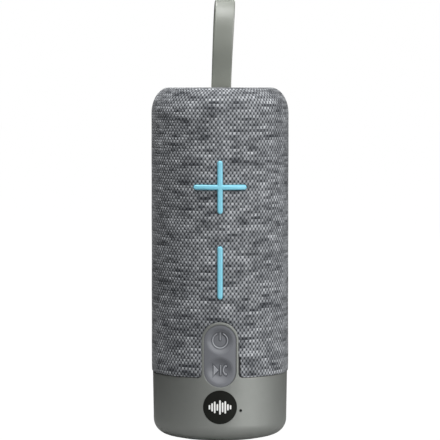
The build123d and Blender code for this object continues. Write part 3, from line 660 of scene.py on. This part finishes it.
# ---------------------------------------------------------------- microphone port
def microphone_port():
    """A black grommet that lines the microphone's hole, closed at its inner end."""
    x, y, height = (sum(ends) / 2 for ends in zip(*extent("microphone")))
    out = np.array([x, y, 0]) / math.hypot(x, y)
    aside = np.array([-out[1], out[0], 0])
    up = np.array([0, 0, 1])
    wall = cup_radius(height)
    # radius, and how far outside the base wall
    profile = [(0.58, -1.4), (0.58, -0.10), (0.80, -0.10), (0.80, 0.0), (0.77, 0.03), (0.72, 0.04),
               (0.62, 0.03), (0.56, -0.03), (0.54, -0.15), (0.53, -0.6), (0.52, -1.2), (0.3, -1.25)]
    around = np.linspace(0, 2 * math.pi, 33)[:-1]
    ring = len(around)

    def at(r, rise, a=0.0):
        return out * (wall + rise) + r * (np.cos(a) * aside + np.sin(a) * up) + height * up

    points = [at(r, rise, a) for r, rise in profile for a in around]
    points += [at(0, profile[-1][1]), at(0, profile[0][1])]
    faces = []
    for k in range(len(profile) - 1):
        this, after = k * ring, (k + 1) * ring
        faces += [[this + j, this + (j + 1) % ring, after + (j + 1) % ring, after + j]
                  for j in range(ring)]
    last = (len(profile) - 1) * ring
    faces += [[last + j, last + (j + 1) % ring, len(points) - 2] for j in range(ring)]
    faces += [[(j + 1) % ring, j, len(points) - 1] for j in range(ring)]
    return mesh_piece("microphone_port", points, faces, "surround_rubber", "body")


microphone_port()


# ---------------------------------------------------------------- rubber surrounds of the speakers
SPEAKER_WINDOW = 16.6  # radius of the frames' openings
LIP_THICK = 0.25
ROLL_CLEAR = 0.15  # between the moving rim and the roll
RUBBER_THICK = 0.4


def rolled_surround(kind, moving, side, lip_radius):
    """A half-roll of rubber whose lip sits at the cone or plate while its rim stays on the frame."""
    node = f"{kind}_surround_{side}"
    sign = 1 if side == "right" else -1
    low, high = extent(node)
    middle = (low[2] + high[2]) / 2
    back, crest = sorted((abs(low[0]), abs(high[0])))
    seat = max(abs(corner[0]) for corner in extent(f"{kind}_frame_{side}"))
    inner = extent(f"{kind}_{moving}_{side}")[1][1] + ROLL_CLEAR
    centre = (inner + SPEAKER_WINDOW) / 2
    swell = (SPEAKER_WINDOW - inner) / 2
    arc = np.linspace(0, math.pi, 13)
    rise = crest - seat - RUBBER_THICK
    over = [(seat + RUBBER_THICK + rise * math.sin(a), centre - swell * math.cos(a)) for a in arc]
    under = [(seat + rise * math.sin(a), centre - (swell - LIP_THICK) * math.cos(a))
             for a in arc[::-1]]
    profile = [(back, lip_radius), (back + LIP_THICK, lip_radius),
               (back + LIP_THICK, inner - 0.1), *over,
               (seat + RUBBER_THICK, high[1]), (seat, high[1]), *under, (back, inner)]
    turns = np.linspace(0, 2 * math.pi, 97)[:-1]
    points = [(sign * x, r * math.cos(a), middle + r * math.sin(a)) for a in turns for x, r in profile]
    ring, count = len(profile), len(turns)
    faces = []
    for i in range(count):
        this, after = i * ring, (i + 1) % count * ring
        faces += [[this + j, this + (j + 1) % ring, after + (j + 1) % ring, after + j][::sign]
                  for j in range(ring)]
    piece = mesh_piece(f"{kind}_roll_{side}", points, faces, "surround_rubber")
    piece.data.set_sharp_from_angle(angle=math.radians(50))
    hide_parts(node)
    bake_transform(piece)


for side in ("right", "left"):
    rolled_surround("driver", "cone", side, 13.9)
    rolled_surround("radiator", "plate", side, 12.4)


# ---------------------------------------------------------------- carrying strap
STRAP_WIDTH = strap_high[0] - strap_low[0]
STRAP_X = (strap_high[0] + strap_low[0]) / 2
STRAP_THICK = 2.0
PIN_Z = (pin_low[2] + pin_high[2]) / 2
BEND = (strap_high[1] - strap_low[1]) / 2 - STRAP_THICK / 2
CREST = 16.0  # height of the loop's arched top
BEND_Z = strap_high[2] - CREST - STRAP_THICK / 2
EYE = 2.2  # the band's radius round the pin
STRAP_LEAN = 2.0  # to the right at the top
STRAP_TWIST = 3.5  # degrees at the top


def strap_path(steps=40):
    """The middle of the band in Y and Z: round the pin, up, over the bend and down."""
    rise = BEND_Z - PIN_Z
    tilt = math.asin((BEND - EYE) / rise)

    def straight(start, end):
        return [tuple(np.array(start) * (1 - t) + np.array(end) * t)
                for t in np.linspace(0, 1, steps)[1:-1]]

    over = [(BEND * math.cos(a), BEND_Z + CREST * math.sin(a))
            for a in np.linspace(0, math.pi, steps)]
    under = [(EYE * math.cos(a), PIN_Z + EYE * math.sin(a))
             for a in np.linspace(math.pi + tilt, 2 * math.pi - tilt, steps // 2)]
    path = np.array(over + straight(over[-1], under[0]) + under + straight(under[-1], over[0]))
    height = np.clip((path[:, 1] - PIN_Z) / rise, 0, 1)
    bow = 0.7 * np.sin(math.pi * height) - 0.53 * np.sin(2 * math.pi * height)
    path[:, 0] += bow * np.sign(path[:, 0])
    return path


def band_section(corner=0.75, steps=6):
    """A flat band's outline, width then thickness, with round corners."""
    outline = []
    for sx, sy, start in ((1, 1, 0), (-1, 1, 90), (-1, -1, 180), (1, -1, 270)):
        for a in np.radians(np.linspace(start, start + 90, steps)):
            x = sx * (STRAP_WIDTH / 2 - corner) + corner * math.cos(a)
            y = sy * (STRAP_THICK / 2 - corner) + corner * math.sin(a)
            outline.append((x, y))
    return np.array(outline)


def strap_mesh():
    """The band swept along its path, then leaned to the right and twisted a little."""
    path = strap_path()
    section = band_section()
    ahead = np.roll(path, -1, axis=0) - np.roll(path, 1, axis=0)
    ahead /= np.linalg.norm(ahead, axis=1)[:, None]
    out = np.stack([ahead[:, 1], -ahead[:, 0]], -1)
    x = np.repeat(section[None, :, 0], len(path), 0)
    y = path[:, None, 0] + out[:, None, 0] * section[None, :, 1]
    z = path[:, None, 1] + out[:, None, 1] * section[None, :, 1]
    height = np.clip((z - PIN_Z) / (strap_high[2] - PIN_Z), 0, 1)
    twist = np.radians(STRAP_TWIST) * height**1.5
    turned_x = x * np.cos(twist) - y * np.sin(twist)
    turned_y = x * np.sin(twist) + y * np.cos(twist)
    turned_x += STRAP_X + STRAP_LEAN * height**1.3
    points = np.stack([turned_x, turned_y, z], -1).reshape(-1, 3)
    count, ring = len(path), len(section)
    faces = []
    for i in range(count):
        for j in range(ring):
            k, m = (i + 1) % count, (j + 1) % ring
            faces.append([i * ring + j, i * ring + m, k * ring + m, k * ring + j])
    return points, faces


points, faces = strap_mesh()
strap = mesh_piece("strap_band", points, faces, "strap_rubber", "strap")
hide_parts("carry_strap")


# ---------------------------------------------------------------- stage, light and camera
FLOOR_GLOW = 1.0


def floor_finish():
    """A matt white table top that shows evenly bright and lights the object only from close by."""
    g = Graph("studio_floor")
    x, y, _ = g.split(g.place())
    away = g.math("SQRT", g.math("ADD", g.math("MULTIPLY", x, x), g.math("MULTIPLY", y, y)))
    tone = g.mix(g.spread(away, 0.05, 0.16, 0.0, 1.0), (0.4, 0.4, 0.4, 1), (0.06, 0.06, 0.06, 1))
    g.finish(tone, 0.9, Specular_IOR_Level=0.1)
    paper = g.nodes.new("ShaderNodeBsdfDiffuse")
    paper.inputs[0].default_value = (0.03, 0.03, 0.03, 1)
    glow = g.nodes.new("ShaderNodeEmission")
    glow.inputs[1].default_value = FLOOR_GLOW
    sweep = g.nodes.new("ShaderNodeAddShader")
    g.put(paper.outputs[0], sweep.inputs[0])
    g.put(glow.outputs[0], sweep.inputs[1])
    seen = g.nodes.new("ShaderNodeLightPath")
    either = g.nodes.new("ShaderNodeMixShader")
    g.put(seen.outputs["Is Camera Ray"], either.inputs[0])
    g.put(g.shader.outputs[0], either.inputs[1])
    g.put(sweep.outputs[0], either.inputs[2])
    g.put(either.outputs[0], g.nodes["Material Output"].inputs[0])
    return g.material


floor_mesh = bpy.data.meshes.new("studio_floor")
floor_mesh.from_pydata([(-9, -9, 0), (9, -9, 0), (9, 9, 0), (-9, 9, 0)], [], [(0, 1, 2, 3)])
floor_mesh.materials.append(floor_finish())
floor = bpy.data.objects.new("studio_floor", floor_mesh)
bpy.context.scene.collection.objects.link(floor)


def softbox(name, azimuth, elevation, distance, width, height, power, aim=(0, 0, 0.1)):
    """An area light aimed at a point. Azimuth 0 is in front, and 90 is on the right."""
    light = bpy.data.lights.new(name, "AREA")
    light.shape = "RECTANGLE"
    light.size = width
    light.size_y = height
    light.energy = power
    lamp = bpy.data.objects.new(name, light)
    bpy.context.scene.collection.objects.link(lamp)
    a, e = math.radians(azimuth), math.radians(elevation)
    away = np.array([math.sin(a) * math.cos(e), -math.cos(a) * math.cos(e), math.sin(e)])
    lamp.location = np.array(aim) + away * distance
    lamp.rotation_euler = (math.radians(90 - elevation), 0, a)
    lamp.visible_camera = False


softbox("key", 50, 12, 1.6, 0.7, 1.1, 13.0)
softbox("key_front", 36, 12, 1.6, 0.7, 1.1, 6.4)
softbox("key_side", 80, 15, 1.6, 0.7, 1.1, 6.1)
softbox("fill", -20, 8, 1.6, 0.6, 1.0, 2.2)
softbox("overhead_front", 0, 48, 1.6, 1.0, 0.8, 15.5)
softbox("overhead", 0, 86, 1.5, 1.0, 1.0, 3.4)
softbox("close_left", -70, 65, 0.36, 0.2, 0.2, 1.2, aim=(-0.01, 0, 0.205))
softbox("behind", 180, 25, 1.6, 1.0, 0.8, 15.0)

scene = bpy.context.scene
world = bpy.data.worlds.new("studio")
world.use_nodes = True
scene.world = world
tree = world.node_tree
ambient = tree.nodes["Background"]
ambient.inputs[0].default_value = (1, 1, 1, 1)
ambient.inputs[1].default_value = 0.01
backdrop = tree.nodes.new("ShaderNodeBackground")
backdrop.inputs[0].default_value = (1, 1, 1, 1)
backdrop.inputs[1].default_value = FLOOR_GLOW
seen = tree.nodes.new("ShaderNodeLightPath")
either = tree.nodes.new("ShaderNodeMixShader")
tree.links.new(seen.outputs["Is Camera Ray"], either.inputs[0])
tree.links.new(ambient.outputs[0], either.inputs[1])
tree.links.new(backdrop.outputs[0], either.inputs[2])
tree.links.new(either.outputs[0], tree.nodes["World Output"].inputs[0])

scene.view_settings.view_transform = "Standard"
scene.view_settings.look = "None"

CAMERA_HEIGHT = 0.182
CAMERA_AWAY = 1.2
AIM_HEIGHT = 0.11285
FOCAL_LENGTH = 187.0
SENSOR_WIDTH = 36

camera_data = bpy.data.cameras.new("camera")
camera_data.sensor_width = SENSOR_WIDTH
camera_data.lens = FOCAL_LENGTH
camera = bpy.data.objects.new("camera", camera_data)
scene.collection.objects.link(camera)
camera.location = (0, -CAMERA_AWAY, CAMERA_HEIGHT)
camera.rotation_euler = (math.pi / 2 - math.atan2(CAMERA_HEIGHT - AIM_HEIGHT, CAMERA_AWAY), 0, 0)
scene.camera = camera
